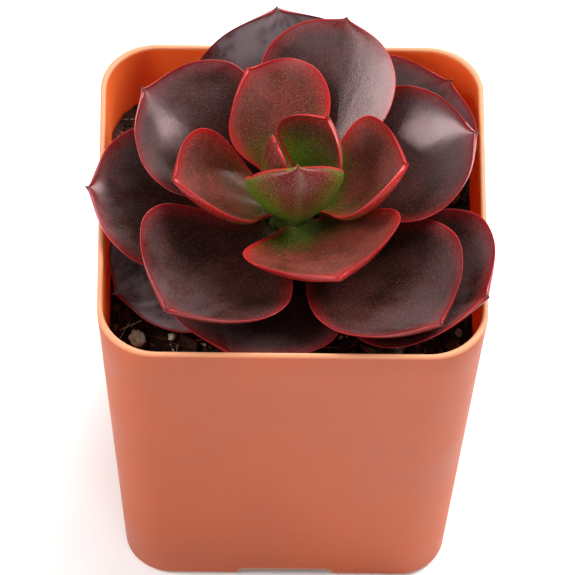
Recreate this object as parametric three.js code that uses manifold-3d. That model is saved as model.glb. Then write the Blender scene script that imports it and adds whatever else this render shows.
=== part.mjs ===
// A rosette succulent in a small square plastic nursery pot, in millimetres, +Z up.
// The origin is the centre of the pot's footprint, on the surface that the pot stands on.
// The pot, the potting mix, the stem, each leaf and each loose grain on the mix are separate solids.

import * as THREE from "three";
import { mergeVertices } from "three/addons/utils/BufferGeometryUtils.js";
import Module from "manifold-3d";

const wasm = await Module();
wasm.setup();

// ---- Driving dimensions ------------------------------------------------------------------------

const CLEARANCE = 0.3; // between solids that rest on or grow from each other

// Pot
const POT_TOP_WIDTH = 54; // across the flats, outside, at the rim
const POT_BASE_WIDTH = 45.6; // the same at the foot
const POT_HEIGHT = 60;
const POT_WALL = 0.8;
const RIM_CORNER_RADIUS = 7.8;
const FOOT_CORNER_RADIUS = 7;
const RIM_ROUNDING = 0.3;
const FOOT_HEIGHT = 1.5; // how far the pot's floor stands above the surface
const FOOT_WIDTH = 1.9; // of the standing ring, before it is notched
const FLOOR_THICKNESS = 1.2;
const NOTCH_WIDTH = 13.6; // the gap in the middle of each side of the foot
const DRAIN_DIAMETER = 5;
const DRAIN_OFFSET = 12; // of the four outer drain holes from the middle, along X and along Y
const DRAIN_SIDES = 16;

// Potting mix
const MIX_BELOW_RIM = 10; // at the wall
const MIX_LEVEL = POT_HEIGHT - MIX_BELOW_RIM;
const MIX_DIP = 1.4; // how much lower the mix is round the stem
const MIX_BUMP = 0.5; // how far its surface wanders up and down

// Stem
const STEM_ABOVE_RIM = 2;
const STEM_TOP = POT_HEIGHT + STEM_ABOVE_RIM;
const STEM_RADIUS = 4.2; // below the leaves
const STEM_TIP_RADIUS = 1.1; // at the growing tip
const ROOT_DEPTH = 24; // how far down in the mix the tap root ends
const ROOT_END = MIX_LEVEL - ROOT_DEPTH;
const ROOT_TIP_RADIUS = 0.8;

// Leaves
const DIVERGENCE = 137.5; // degrees between one leaf and the next one out, clockwise from above
const FIRST_LEAF_TURN = 306; // where the innermost leaf points, in degrees from +X
const FIRST_LEAF_BELOW_TOP = 0.5; // of the stem
const FIRST_LEAF_HEIGHT = STEM_TOP - FIRST_LEAF_BELOW_TOP;
const LEAF_SPACING = 0.5; // how much lower on the stem each leaf is than the one before it
const LEAF_SIDES = 12; // facets around a leaf's section
const LEAF_ROWS = 12; // facets along a leaf
const LEAF_EDGE_TAPER = 1.25; // how quickly the flesh thins towards the margin
const LEAF_UPPER_SHARE = 0.3; // of the thickness that lies above the middle surface
const LEAF_WIDEST_AT = 0.62; // share of the length where a leaf is widest
const LEAF_NECK = 0.22; // width at the stem as a share of the widest
const LEAF_POINT = 0.8; // length of the hard point at the leaf's end

// The leaves from the innermost one out. swing is how far each one turns off its place in the spiral,
// lift its rise above the horizontal at the stem and at the tip, cup how far its margins turn up,
// roll how far it leans to one side and sway how far it curves round, all in degrees.
const LEAVES = [
  { name: "leaf_bud_tip", swing: 0, length: 8.5, width: 3.6, thick: 1.0, lift: [82, 88], cup: 30, roll: 0, sway: 0 },
  { name: "leaf_bud_left", swing: 32, length: 12.8, width: 8.5, thick: 1.5, lift: [72, 108], cup: 40, roll: 0, sway: 0 },
  { name: "leaf_bud_back", swing: 16, length: 12.2, width: 13.5, thick: 1.7, lift: [58, 84], cup: 62, roll: 0, sway: 0 },
  { name: "leaf_bud_front", swing: 22, length: 14.6, width: 17, thick: 1.7, lift: [40, 126], cup: 72, roll: 1, sway: 0 },
  { name: "leaf_inner_back", swing: -13, length: 17.2, width: 19, thick: 2, lift: [32, 54], cup: 46, roll: 10, sway: 30 },
  { name: "leaf_inner_right", swing: 20, length: 16, width: 21, thick: 2, lift: [20, 56], cup: 60, roll: -6, sway: 0 },
  { name: "leaf_inner_left", swing: -10, length: 17, width: 19.5, thick: 2, lift: [27, 47], cup: 58, roll: 6, sway: 0 },
  { name: "leaf_upper_back", swing: 9, length: 24.6, width: 20, thick: 2.2, lift: [25, 38], cup: 30, roll: 0, sway: 0 },
  { name: "leaf_inner_front", swing: 4, length: 17.2, width: 24.5, thick: 2.2, lift: [22, 34], cup: 46, roll: 0, sway: 0 },
  { name: "leaf_upper_left", swing: 1, length: 23.6, width: 24, thick: 2.2, lift: [19, 40], cup: 46, roll: -4, sway: 0 },
  { name: "leaf_upper_right", swing: 4.5, length: 24.7, width: 24, thick: 2.2, lift: [11, 36], cup: 47, roll: 2, sway: 0 },
  { name: "leaf_front_left", swing: -2, length: 25.6, width: 26.5, thick: 2.3, lift: [8.5, 28], cup: 54, roll: -6, sway: 0 },
  { name: "leaf_far_back", swing: -3, length: 27, width: 28.5, thick: 2.3, lift: [8, 62], cup: 41, roll: 0, sway: 6 },
  { name: "leaf_front_right", swing: -7, length: 27.6, width: 25, thick: 2.3, lift: [6, 26], cup: 47, roll: 5, sway: 0 },
  { name: "leaf_outer_left", swing: 0, length: 25.4, width: 23, thick: 2.3, lift: [12, 26], cup: 24, roll: -8, sway: 0 },
  { name: "leaf_outer_right_back", swing: 0, length: 27, width: 26.5, thick: 2.3, lift: [2, 22], cup: 32, roll: 0, sway: 0 },
  { name: "leaf_low_front", swing: -15, length: 21.4, width: 26, thick: 2.2, lift: [6, 10], cup: 20, roll: 0, sway: 0 },
  { name: "leaf_low_back_left", swing: 4, length: 21, width: 18, thick: 2.2, lift: [2, 8], cup: 20, roll: 0, sway: 0 },
  { name: "leaf_outer_right", swing: -26, length: 30, width: 25, thick: 2.3, lift: [5, 37], cup: 22, roll: 9, sway: 0 },
  { name: "leaf_low_left", swing: -7, length: 22.8, width: 21.5, thick: 2.2, lift: [2, 8], cup: 20, roll: -5, sway: 0 },
  { name: "leaf_low_back", swing: -4, length: 20, width: 16, thick: 2.2, lift: [2, 6], cup: 18, roll: 0, sway: 0 },
  { name: "leaf_low_front_right", swing: 3, length: 14, width: 13, thick: 2, lift: [1, 2], cup: 18, roll: 0, sway: 0 },
];

// Loose grains on the mix: the corner that each one lies in, how far its middle is in from the wall
// along X and along Y at the mix's level, its size along X, Y and Z and its turn.
const GRAINS = [
  { name: "perlite_grain_front_left", corner: [-1, -1], inset: [4.1, 7.9], size: [2.4, 2.9, 1.8], turn: 20, kind: "perlite" },
  { name: "perlite_grain_front", corner: [-1, -1], inset: [8.9, 8.6], size: [1.3, 1.2, 1.1], turn: 60, kind: "perlite" },
  { name: "perlite_grain_back_left", corner: [-1, 1], inset: [4.5, 6], size: [1.8, 1.5, 1.3], turn: 35, kind: "perlite" },
  { name: "bark_chip_front_right", corner: [1, -1], inset: [3.1, 7.1], size: [2.6, 1.7, 1.2], turn: 25, kind: "bark" },
  { name: "bark_chip_front", corner: [1, -1], inset: [10.7, 6.1], size: [1.4, 3, 1.2], turn: -8, kind: "bark" },
];

const COLOURS = {
  pot: { color: 0xc56a4c, roughness: 0.6 },
  mix: { color: 0x2a1a14, roughness: 0.95 },
  stem: { color: 0x5c7a3a, roughness: 0.6 },
  leaf: { color: 0x4a2323, roughness: 0.35 },
  innerLeaf: { color: 0x6a3a2c, roughness: 0.4 },
  perlite: { color: 0xc9c6a8, roughness: 0.9 },
  bark: { color: 0x7a5a3c, roughness: 0.9 },
};

// ---- Shared helpers ----------------------------------------------------------------------------

const radians = THREE.MathUtils.degToRad;
const lerp = THREE.MathUtils.lerp;

// Sets every vertex of a geometry to what place(x, y, z) returns for it.
function reshape(geometry, place) {
  const position = geometry.getAttribute("position");
  for (let i = 0; i < position.count; i++) {
    position.setXYZ(i, ...place(position.getX(i), position.getY(i), position.getZ(i)));
  }
  return geometry;
}

function solidOf(geometry) {
  const bare = geometry.clone();
  bare.deleteAttribute("normal");
  bare.deleteAttribute("uv");
  const merged = mergeVertices(bare, 1e-3);
  return new wasm.Manifold(
    new wasm.Mesh({
      numProp: 3,
      vertProperties: merged.getAttribute("position").array,
      triVerts: new Uint32Array(merged.index.array),
    }),
  );
}

function geometryOf(solid) {
  const mesh = solid.getMesh();
  const geometry = new THREE.BufferGeometry();
  geometry.setAttribute("position", new THREE.BufferAttribute(mesh.vertProperties, 3));
  geometry.setIndex(new THREE.BufferAttribute(mesh.triVerts, 1));
  geometry.computeVertexNormals();
  return geometry;
}

function part(name, geometry, look) {
  const mesh = new THREE.Mesh(geometry, new THREE.MeshStandardMaterial({ ...look, metalness: 0 }));
  mesh.name = name;
  return mesh;
}

// A repeatable number from -1 to 1 for a place on the mix.
function wander(x, y) {
  return (Math.sin(x * 0.9 + y * 0.35) + Math.sin(y * 0.8 - x * 0.45 + 2)) / 2;
}

// ---- The pot's section: a square with round corners --------------------------------------------

const ARC_STEPS = 6; // facets on each corner
const SIDE_STEPS = 2; // facets on each straight side
const SQUARE_STEPS = 4 * (ARC_STEPS + SIDE_STEPS);

// Half the pot's outside width at a height.
function potHalfWidth(z) {
  return lerp(POT_BASE_WIDTH, POT_TOP_WIDTH, z / POT_HEIGHT) / 2;
}

// How far the centre of each corner's arc is from the pot's middle, along X and along Y.
function cornerCentre(z) {
  const radius = lerp(FOOT_CORNER_RADIUS, RIM_CORNER_RADIUS, z / POT_HEIGHT);
  return potHalfWidth(z) - radius;
}

// The point at one of SQUARE_STEPS places round a section whose flats are halfWidth from the middle.
function squarePoint(step, halfWidth, z) {
  const perQuarter = ARC_STEPS + SIDE_STEPS;
  const quarter = Math.floor(step / perQuarter);
  const local = step % perQuarter;
  const centre = Math.min(cornerCentre(z), halfWidth * (cornerCentre(z) / potHalfWidth(z)));
  const radius = halfWidth - centre;
  let x = halfWidth;
  let y = 0;
  if (local > 0) {
    const angle = ((local - 1) / ARC_STEPS) * (Math.PI / 2);
    x = centre + radius * Math.cos(angle);
    y = centre + radius * Math.sin(angle);
  }
  const turn = (quarter * Math.PI) / 2;
  return [x * Math.cos(turn) - y * Math.sin(turn), x * Math.sin(turn) + y * Math.cos(turn)];
}

// A lathe whose circles become rounded squares: each profile point is a half width and a height.
function squareLathe(profile) {
  const lathe = new THREE.LatheGeometry(
    profile.map(([x, z]) => new THREE.Vector2(x, z)),
    SQUARE_STEPS,
  );
  return reshape(lathe, (x, height, z) => {
    const halfWidth = Math.hypot(x, z);
    if (halfWidth < 1e-6) return [0, 0, height];
    const share = Math.atan2(x, z) / (2 * Math.PI);
    const step = Math.round(share * SQUARE_STEPS + SQUARE_STEPS) % SQUARE_STEPS;
    return [...squarePoint(step, halfWidth, height), height];
  });
}

// ---- Pot ---------------------------------------------------------------------------------------

const POT_FLOOR_TOP = FOOT_HEIGHT + FLOOR_THICKNESS;
const INNER_BEND = 1.2; // how far the inside rounds from the wall to the floor

// Half the width of the inside at a height.
function insideHalfWidth(z) {
  return potHalfWidth(z) - POT_WALL;
}

function potBody() {
  const rim = potHalfWidth(POT_HEIGHT);
  const foot = potHalfWidth(0);
  return squareLathe([
    [0, FOOT_HEIGHT],
    [foot - FOOT_WIDTH - 0.3, FOOT_HEIGHT],
    [foot - FOOT_WIDTH, 0],
    [foot - 0.7, 0],
    [foot, 0.7],
    [rim - RIM_ROUNDING / 4, POT_HEIGHT - RIM_ROUNDING],
    [rim - RIM_ROUNDING, POT_HEIGHT],
    [rim - POT_WALL + RIM_ROUNDING, POT_HEIGHT],
    [rim - POT_WALL, POT_HEIGHT - RIM_ROUNDING],
    [insideHalfWidth(POT_FLOOR_TOP + INNER_BEND), POT_FLOOR_TOP + INNER_BEND],
    [insideHalfWidth(POT_FLOOR_TOP) - INNER_BEND, POT_FLOOR_TOP],
    [0, POT_FLOOR_TOP],
  ]);
}

function notches() {
  const through = POT_BASE_WIDTH + 10;
  const box = (width, depth) => {
    const made = new THREE.BoxGeometry(width, depth, 2 * FOOT_HEIGHT);
    return solidOf(made);
  };
  return [box(NOTCH_WIDTH, through), box(through, NOTCH_WIDTH)];
}

function drainHole(x, y) {
  const length = 4 * FLOOR_THICKNESS;
  const hole = new THREE.CylinderGeometry(DRAIN_DIAMETER / 2, DRAIN_DIAMETER / 2, length, DRAIN_SIDES);
  hole.rotateX(Math.PI / 2);
  hole.translate(x, y, FOOT_HEIGHT + FLOOR_THICKNESS / 2);
  return solidOf(hole);
}

function pot() {
  let solid = solidOf(potBody());
  const d = DRAIN_OFFSET;
  const holes = [[0, 0], [d, d], [-d, d], [-d, -d], [d, -d]].map(([x, y]) => drainHole(x, y));
  for (const cut of [...notches(), ...holes]) solid = solid.subtract(cut);
  return part("pot", geometryOf(solid), COLOURS.pot);
}

// ---- Stem --------------------------------------------------------------------------------------

const LOWEST_LEAF_HEIGHT = FIRST_LEAF_HEIGHT - LEAF_SPACING * LEAVES.length;

// The stem's radius at a height: a cone from the lowest leaf up, a tap root below it.
function stemRadius(z) {
  if (z > LOWEST_LEAF_HEIGHT) {
    const share = Math.min(1, (z - LOWEST_LEAF_HEIGHT) / (STEM_TOP - LOWEST_LEAF_HEIGHT));
    return lerp(STEM_RADIUS, STEM_TIP_RADIUS, share);
  }
  const share = (LOWEST_LEAF_HEIGHT - z) / (LOWEST_LEAF_HEIGHT - ROOT_END);
  return lerp(STEM_RADIUS, ROOT_TIP_RADIUS, share ** 1.5);
}

const STEM_LEVELS = 12;
const STEM_SIDES = 16;

// The stem's profile made wider by a margin, which is 0 for the stem itself.
function stemShape(margin) {
  const profile = [new THREE.Vector2(0, ROOT_END - margin)];
  if (margin > 0) profile.push(new THREE.Vector2(ROOT_TIP_RADIUS + margin, ROOT_END - margin));
  for (let i = 0; i <= STEM_LEVELS; i++) {
    const z = lerp(ROOT_END, STEM_TOP, i / STEM_LEVELS);
    profile.push(new THREE.Vector2(stemRadius(z) + margin, z));
  }
  profile.push(new THREE.Vector2(0, STEM_TOP + margin + STEM_TIP_RADIUS / 2));
  return new THREE.LatheGeometry(profile, STEM_SIDES).rotateX(Math.PI / 2);
}

function stem() {
  return part("stem", geometryOf(solidOf(stemShape(0))), COLOURS.stem);
}

// ---- Potting mix -------------------------------------------------------------------------------

// The height of the mix's surface.
function mixHeight(x, y) {
  const reach = Math.max(Math.abs(x), Math.abs(y)) / insideHalfWidth(MIX_LEVEL);
  return MIX_LEVEL - MIX_DIP * (1 - reach ** 2) + MIX_BUMP * wander(x, y);
}

function pottingMix() {
  const bottom = POT_FLOOR_TOP + CLEARANCE;
  const bendTop = POT_FLOOR_TOP + INNER_BEND;
  const wall = (z) => insideHalfWidth(z) - CLEARANCE;
  const rings = [1, 0.82, 0.64, 0.48, 0.34].map((share) => [wall(MIX_LEVEL) * share, MIX_LEVEL]);
  const block = squareLathe([
    [0, bottom],
    [wall(bottom) - INNER_BEND, bottom],
    [wall(bendTop), bendTop + CLEARANCE],
    ...rings,
    [0, MIX_LEVEL],
  ]);
  const surface = reshape(block, (x, y, z) => [x, y, z > MIX_LEVEL - 1e-6 ? mixHeight(x, y) : z]);
  const solid = solidOf(surface).subtract(solidOf(stemShape(CLEARANCE)));
  return part("potting_mix", geometryOf(solid), COLOURS.mix);
}

// ---- Leaves ------------------------------------------------------------------------------------

// Half a leaf's width at a share of its length, as a share of the widest half width.
function outline(s) {
  if (s < LEAF_WIDEST_AT) {
    return lerp(LEAF_NECK, 1, Math.sin((s / LEAF_WIDEST_AT) * (Math.PI / 2)) ** 1.4);
  }
  const past = (s - LEAF_WIDEST_AT) / (1 - LEAF_WIDEST_AT);
  return Math.max(0, 1 - past ** 2.3) ** 0.6;
}

// How thick a leaf is at a share of its length, as a share of its greatest thickness.
function flesh(s) {
  return lerp(0.55, 1, Math.sin(Math.min(1, s * 2) * (Math.PI / 2))) * lerp(1, 0.4, s ** 2);
}

// The leaf's middle line, walked in short steps from the stem to the tip.
function midrib(leaf) {
  const steps = 60;
  const height = FIRST_LEAF_HEIGHT - LEAF_SPACING * leaf.index;
  const turn = radians(FIRST_LEAF_TURN - DIVERGENCE * leaf.index + leaf.swing);
  const out = new THREE.Vector3(Math.cos(turn), Math.sin(turn), 0);
  const lean = leaf.thick * LEAF_UPPER_SHARE * Math.sin(radians(leaf.lift[0]));
  const foot = stemRadius(height - leaf.thick) + lean + CLEARANCE;
  const start = out.clone().multiplyScalar(foot).setZ(height);
  const frames = [];
  const at = start.clone();
  for (let i = 0; i <= steps; i++) {
    const s = i / steps;
    const heading = turn + radians(leaf.sway) * s;
    const lift = radians(lerp(leaf.lift[0], leaf.lift[1], s));
    const along = new THREE.Vector3(
      Math.cos(heading) * Math.cos(lift),
      Math.sin(heading) * Math.cos(lift),
      Math.sin(lift),
    );
    const level = new THREE.Vector3(Math.sin(heading), -Math.cos(heading), 0);
    const across = level.applyAxisAngle(along, radians(leaf.roll) * Math.min(1, 2 * s));
    const up = new THREE.Vector3().crossVectors(across, along);
    frames.push({ at: at.clone(), along, across, up });
    at.addScaledVector(along, leaf.length / steps);
  }
  return (s) => frames[Math.round(s * steps)];
}

// A leaf is a sphere pulled into shape: its poles become the two ends and its equator the margin.
function leafGeometry(leaf) {
  const rib = midrib(leaf);
  const rings = LEAF_ROWS - 2;
  const sphere = new THREE.SphereGeometry(1, LEAF_SIDES, LEAF_ROWS);
  return reshape(sphere, (x, y, z) => {
    const row = Math.round((Math.acos(THREE.MathUtils.clamp(-y, -1, 1)) / Math.PI) * LEAF_ROWS);
    const around = Math.atan2(z, x);
    const pole = row === 0 || row === LEAF_ROWS;
    const share = THREE.MathUtils.clamp((row - 1) / rings, 0, 1);
    const s = 1 - (1 - share) ** 1.5;
    const { at, along, across, up } = rib(s);
    if (pole) return at.clone().addScaledVector(along, row === 0 ? 0 : LEAF_POINT).toArray();

    const half = Math.max(0.35, (outline(s) * leaf.width) / 2);
    const cup = radians(leaf.cup) * lerp(1, 0.8, s);
    const v = Math.cos(around);
    const radius = half / cup;
    const bend = cup * v;
    const side = radius * Math.sin(bend);
    const rise = radius * (1 - Math.cos(bend));
    const depth = leaf.thick * flesh(s) * Math.abs(Math.sin(around)) ** LEAF_EDGE_TAPER;
    const outward = Math.sin(around) > 0 ? depth * LEAF_UPPER_SHARE : -depth * (1 - LEAF_UPPER_SHARE);
    return at
      .clone()
      .addScaledVector(across, side - outward * Math.sin(bend))
      .addScaledVector(up, rise + outward * Math.cos(bend))
      .toArray();
  });
}

function leaf(spec, index) {
  const inner = index < 4;
  const geometry = leafGeometry({ ...spec, index });
  return part(spec.name, geometry, inner ? COLOURS.innerLeaf : COLOURS.leaf);
}

// ---- Loose grains ------------------------------------------------------------------------------

function grain(spec) {
  const wall = insideHalfWidth(MIX_LEVEL);
  const [x, y] = spec.corner.map((side, axis) => side * (wall - spec.inset[axis]));
  const stone = reshape(new THREE.IcosahedronGeometry(0.5, 1), (px, py, pz) => {
    const rough = 1 + 0.14 * Math.sin(9 * px + 4 * py) * Math.cos(7 * pz + 3 * px);
    return [px * rough * spec.size[0], py * rough * spec.size[1], pz * rough * spec.size[2]];
  });
  stone.rotateZ(radians(spec.turn));
  stone.translate(x, y, mixHeight(x, y) + spec.size[2] / 2 + CLEARANCE + MIX_BUMP / 2);
  return part(spec.name, stone, COLOURS[spec.kind]);
}

// ---- The whole plant ---------------------------------------------------------------------------

const succulent = new THREE.Group();
succulent.add(pot(), pottingMix(), stem());
LEAVES.forEach((spec, index) => succulent.add(leaf(spec, index)));
for (const spec of GRAINS) succulent.add(grain(spec));

export default succulent;
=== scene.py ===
# %% [markdown]
# # A potted succulent
# This lesson dresses a measured model of a small succulent in a square nursery pot. The measured
# model is the frame: it says where every leaf, the pot and the potting mix are. Each step below
# takes one piece or one finish of the real plant, says what it is, and makes it in Blender.

# %% Load the frame
import math
import random

import bmesh
import bpy
import numpy as np
from mathutils import Matrix, Vector, kdtree, noise
from mathutils.bvhtree import BVHTree


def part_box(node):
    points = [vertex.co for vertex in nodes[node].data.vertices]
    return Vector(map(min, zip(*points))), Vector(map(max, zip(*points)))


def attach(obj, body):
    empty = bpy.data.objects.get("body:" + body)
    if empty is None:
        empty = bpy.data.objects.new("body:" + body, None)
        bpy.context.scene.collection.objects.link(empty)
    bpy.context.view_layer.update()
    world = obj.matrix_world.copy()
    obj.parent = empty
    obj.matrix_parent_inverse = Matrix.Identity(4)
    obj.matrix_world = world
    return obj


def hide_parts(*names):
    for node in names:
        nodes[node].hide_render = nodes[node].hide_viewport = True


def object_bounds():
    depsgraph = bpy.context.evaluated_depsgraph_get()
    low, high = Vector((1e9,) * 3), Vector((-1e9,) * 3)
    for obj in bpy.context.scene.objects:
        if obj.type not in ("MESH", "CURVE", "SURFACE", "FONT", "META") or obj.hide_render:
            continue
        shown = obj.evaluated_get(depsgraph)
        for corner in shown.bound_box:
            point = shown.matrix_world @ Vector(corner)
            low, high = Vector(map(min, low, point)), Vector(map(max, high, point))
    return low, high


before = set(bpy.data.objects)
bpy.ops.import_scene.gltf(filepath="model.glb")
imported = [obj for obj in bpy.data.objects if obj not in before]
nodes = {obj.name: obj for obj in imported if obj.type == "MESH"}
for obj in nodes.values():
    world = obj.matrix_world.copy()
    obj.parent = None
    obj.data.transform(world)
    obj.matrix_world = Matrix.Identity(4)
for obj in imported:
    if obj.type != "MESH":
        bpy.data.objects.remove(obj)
cad_box = [list(corner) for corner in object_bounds()]
leaf_names = sorted(name for name in nodes if name.startswith("leaf_"))
print(len(nodes), "nodes,", len(leaf_names), "leaves, box in mm:",
      [[round(1000 * v, 1) for v in corner] for corner in cad_box])

# %% [markdown]
# ## Camera
# The plant is seen from the front and well above, so that the whole rosette opens up. A long lens
# from a metre away keeps the pot's sides almost straight. The object is turned a little and the
# camera rolls a little, so one short helper places the camera from those few angles.

# %% Place the camera
MM = 0.001


def look_at(distance, elevation, turn, roll, aim, lens):
    """Puts a camera at a distance from aim, in metres, at angles in degrees."""
    data = bpy.data.cameras.new("camera")
    camera = bpy.data.objects.new("camera", data)
    bpy.context.scene.collection.objects.link(camera)
    data.lens = lens
    data.sensor_width = 36
    data.clip_start, data.clip_end = 0.05, 20
    e, t = math.radians(elevation), math.radians(turn)
    back = Vector((-math.sin(t) * math.cos(e), -math.cos(t) * math.cos(e), math.sin(e)))
    turned = (-back).to_track_quat("-Z", "Y").to_matrix().to_4x4()
    camera.matrix_world = (Matrix.Translation(Vector(aim) + back * distance) @ turned
                           @ Matrix.Rotation(math.radians(roll), 4, "Z"))
    bpy.context.scene.camera = camera
    return camera


camera = look_at(distance=1.0706, elevation=54.2, turn=1.55, roll=1.85,
                 aim=(0.2 * MM, 18.4 * MM, 13.3 * MM), lens=460.5)
print("camera at", [round(v, 3) for v in camera.matrix_world.translation])

# %% [markdown]
# ## Light and floor
# Small plants are usually shown on a white sweep, between a soft light on each side, with a weaker
# one behind and one low in front. Dark leaves show those lights as broad grey patches, so where the
# lights stand matters more than how strong they are. Each one is placed by its turn from the front,
# its height in degrees and its distance, and looks at the rosette. The floor is a big pale disc.

# %% Make the floor and the lights
def soft_light(name, turn, elevation, distance, size, power):
    """A round soft light, turned from the front towards +X and raised, in degrees and metres."""
    data = bpy.data.lights.new(name, "AREA")
    data.shape, data.size, data.energy = "DISK", size, power
    light = bpy.data.objects.new(name, data)
    bpy.context.scene.collection.objects.link(light)
    t, e = math.radians(turn), math.radians(elevation)
    out = Vector((math.sin(t) * math.cos(e), -math.cos(t) * math.cos(e), math.sin(e)))
    light.location = Vector((0, 0, 55 * MM)) + out * distance
    light.rotation_mode = "QUATERNION"
    light.rotation_quaternion = (-out).to_track_quat("-Z", "Y")
    return light


lights = [
    soft_light("left_light", turn=-82, elevation=43, distance=0.75, size=0.36, power=4.4),
    soft_light("right_light", turn=120, elevation=44, distance=0.75, size=0.42, power=6.8),
    soft_light("back_light", turn=168, elevation=54, distance=0.75, size=0.34, power=3.0),
    soft_light("front_light", turn=20, elevation=14, distance=0.9, size=0.5, power=2.4),
]

world = bpy.data.worlds.new("studio")
bpy.context.scene.world = world
world.use_nodes = True
world.node_tree.nodes["Background"].inputs["Color"].default_value = (1, 1, 1, 1)
world.node_tree.nodes["Background"].inputs["Strength"].default_value = 0.36
bpy.context.scene.view_settings.view_transform = "Standard"

bm = bmesh.new()
bmesh.ops.create_circle(bm, cap_ends=True, segments=96, radius=2.5)
bmesh.ops.translate(bm, verts=bm.verts, vec=(0, 0, -0.02 * MM))
floor_mesh = bpy.data.meshes.new("floor")
bm.to_mesh(floor_mesh)
bm.free()
floor = bpy.data.objects.new("floor", floor_mesh)
bpy.context.scene.collection.objects.link(floor)
print(len(lights), "lights and a floor of", len(floor_mesh.vertices), "vertices")

# %% [markdown]
# ## Colours and node helpers
# A finish is a Principled BSDF whose sockets are fed by a few textures. What is the same all over
# is set on the shader itself, and only what changes over the surface gets nodes. These helpers
# keep the node cells short: each takes plain numbers or sockets, and hands back a socket.

# %% Helpers for colours and nodes
def srgb(r, g, b):
    """A colour picked as 0 to 255 on a screen, as the shader wants it."""
    out = []
    for c in (r, g, b):
        c /= 255
        out.append(c / 12.92 if c <= 0.04045 else ((c + 0.055) / 1.055) ** 2.4)
    return (*out, 1)


def feed(tree, value, socket):
    """Links a socket, or sets a plain number or colour."""
    if isinstance(value, bpy.types.NodeSocket):
        tree.links.new(value, socket)
    else:
        socket.default_value = value


def maths(tree, operation, a, b=0.0):
    node = tree.nodes.new("ShaderNodeMath")
    node.operation = operation
    feed(tree, a, node.inputs[0])
    feed(tree, b, node.inputs[1])
    return node.outputs[0]


def remap(tree, value, low, high, to_low=0.0, to_high=1.0):
    """Smoothly turns low to high into to_low to to_high. Low may be the greater one."""
    node = tree.nodes.new("ShaderNodeMapRange")
    node.interpolation_type = "SMOOTHSTEP"
    for socket, number in zip(node.inputs[:5], (value, low, high, to_low, to_high)):
        feed(tree, number, socket)
    return node.outputs[0]


def blend(tree, share, a, b):
    """Colour a where share is 0, colour b where it is 1."""
    node = tree.nodes.new("ShaderNodeMix")
    node.data_type = "RGBA"
    feed(tree, share, node.inputs[0])
    feed(tree, a, node.inputs[6])
    feed(tree, b, node.inputs[7])
    return node.outputs[2]


def speckle_noise(tree, place, scale, detail=2.0, rough=0.5):
    node = tree.nodes.new("ShaderNodeTexNoise")
    feed(tree, place, node.inputs["Vector"])
    feed(tree, scale, node.inputs["Scale"])
    feed(tree, detail, node.inputs["Detail"])
    feed(tree, rough, node.inputs["Roughness"])
    return node.outputs[0]


def attribute(tree, name):
    node = tree.nodes.new("ShaderNodeAttribute")
    node.attribute_name = name
    return node.outputs["Fac"]


def object_place(tree):
    return tree.nodes.new("ShaderNodeTexCoord").outputs["Object"]


def new_group(name, inputs, outputs):
    """An empty node group with named sockets: its tree, what it is given and what it gives."""
    tree = bpy.data.node_groups.new(name, "ShaderNodeTree")
    kinds = {"vector": "NodeSocketVector", "value": "NodeSocketFloat", "colour": "NodeSocketColor"}
    for label, kind in inputs:
        tree.interface.new_socket(name=label, in_out="INPUT", socket_type=kinds[kind])
    for label, kind in outputs:
        tree.interface.new_socket(name=label, in_out="OUTPUT", socket_type=kinds[kind])
    return tree, tree.nodes.new("NodeGroupInput").outputs, tree.nodes.new("NodeGroupOutput").inputs


def use_group(tree, group, **values):
    """Places a group in a material and feeds its inputs by name."""
    node = tree.nodes.new("ShaderNodeGroup")
    node.node_tree = group
    for label, value in values.items():
        feed(tree, value, node.inputs[label.replace("_", " ")])
    return node.outputs


def new_material(name, colour, roughness, **sockets):
    material = bpy.data.materials.new(name)
    material.use_nodes = True
    shader = material.node_tree.nodes["Principled BSDF"]
    shader.inputs["Base Color"].default_value = colour
    shader.inputs["Roughness"].default_value = roughness
    for socket, value in sockets.items():
        shader.inputs[socket.replace("_", " ")].default_value = value
    return material, material.node_tree, shader.inputs


def bump(tree, height, depth, shader):
    """Raises the surface by a height map, depth metres from its darkest to its lightest."""
    node = tree.nodes.new("ShaderNodeBump")
    node.inputs["Distance"].default_value = depth
    feed(tree, height, node.inputs["Height"])
    tree.links.new(node.outputs["Normal"], shader["Normal"])


print("a mid grey is", round(srgb(128, 128, 128)[0], 3), "to the shader")

# %% [markdown]
# ## Clouds and grain
# Nothing that grows, and nothing that is moulded, has one even tone. Every finish here uses the
# same pair of patterns: soft clouds a few millimetres across and a fine grain. They are built once
# as a group, with the two scales as inputs.

# %% The clouds and grain group
clouds_and_grain, given, gives = new_group(
    "clouds_and_grain",
    [("Place", "vector"), ("Cloud Scale", "value"), ("Grain Scale", "value")],
    [("Cloud", "value"), ("Grain", "value"), ("Height", "value")])
cloud = speckle_noise(clouds_and_grain, given["Place"], given["Cloud Scale"], detail=3.0, rough=0.55)
grain = speckle_noise(clouds_and_grain, given["Place"], given["Grain Scale"], detail=2.0, rough=0.6)
feed(clouds_and_grain, remap(clouds_and_grain, cloud, 0.36, 0.66), gives["Cloud"])
feed(clouds_and_grain, remap(clouds_and_grain, grain, 0.33, 0.68), gives["Grain"])
both = maths(clouds_and_grain, "ADD", maths(clouds_and_grain, "MULTIPLY", cloud, 0.6),
             maths(clouds_and_grain, "MULTIPLY", grain, 0.4))
feed(clouds_and_grain, both, gives["Height"])
print(clouds_and_grain.name, "has", len(clouds_and_grain.nodes), "nodes")

# %% Give the floor its paint
floor_material, tree, shader = new_material("white_sweep", srgb(250, 250, 250), 0.6)
marks = use_group(tree, clouds_and_grain, Place=object_place(tree), Cloud_Scale=9, Grain_Scale=700)
feed(tree, blend(tree, marks["Cloud"], srgb(249, 249, 249), srgb(252, 252, 252)), shader["Base Color"])
floor_mesh.materials.append(floor_material)
print(floor_material.name, "is on the floor")

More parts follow.
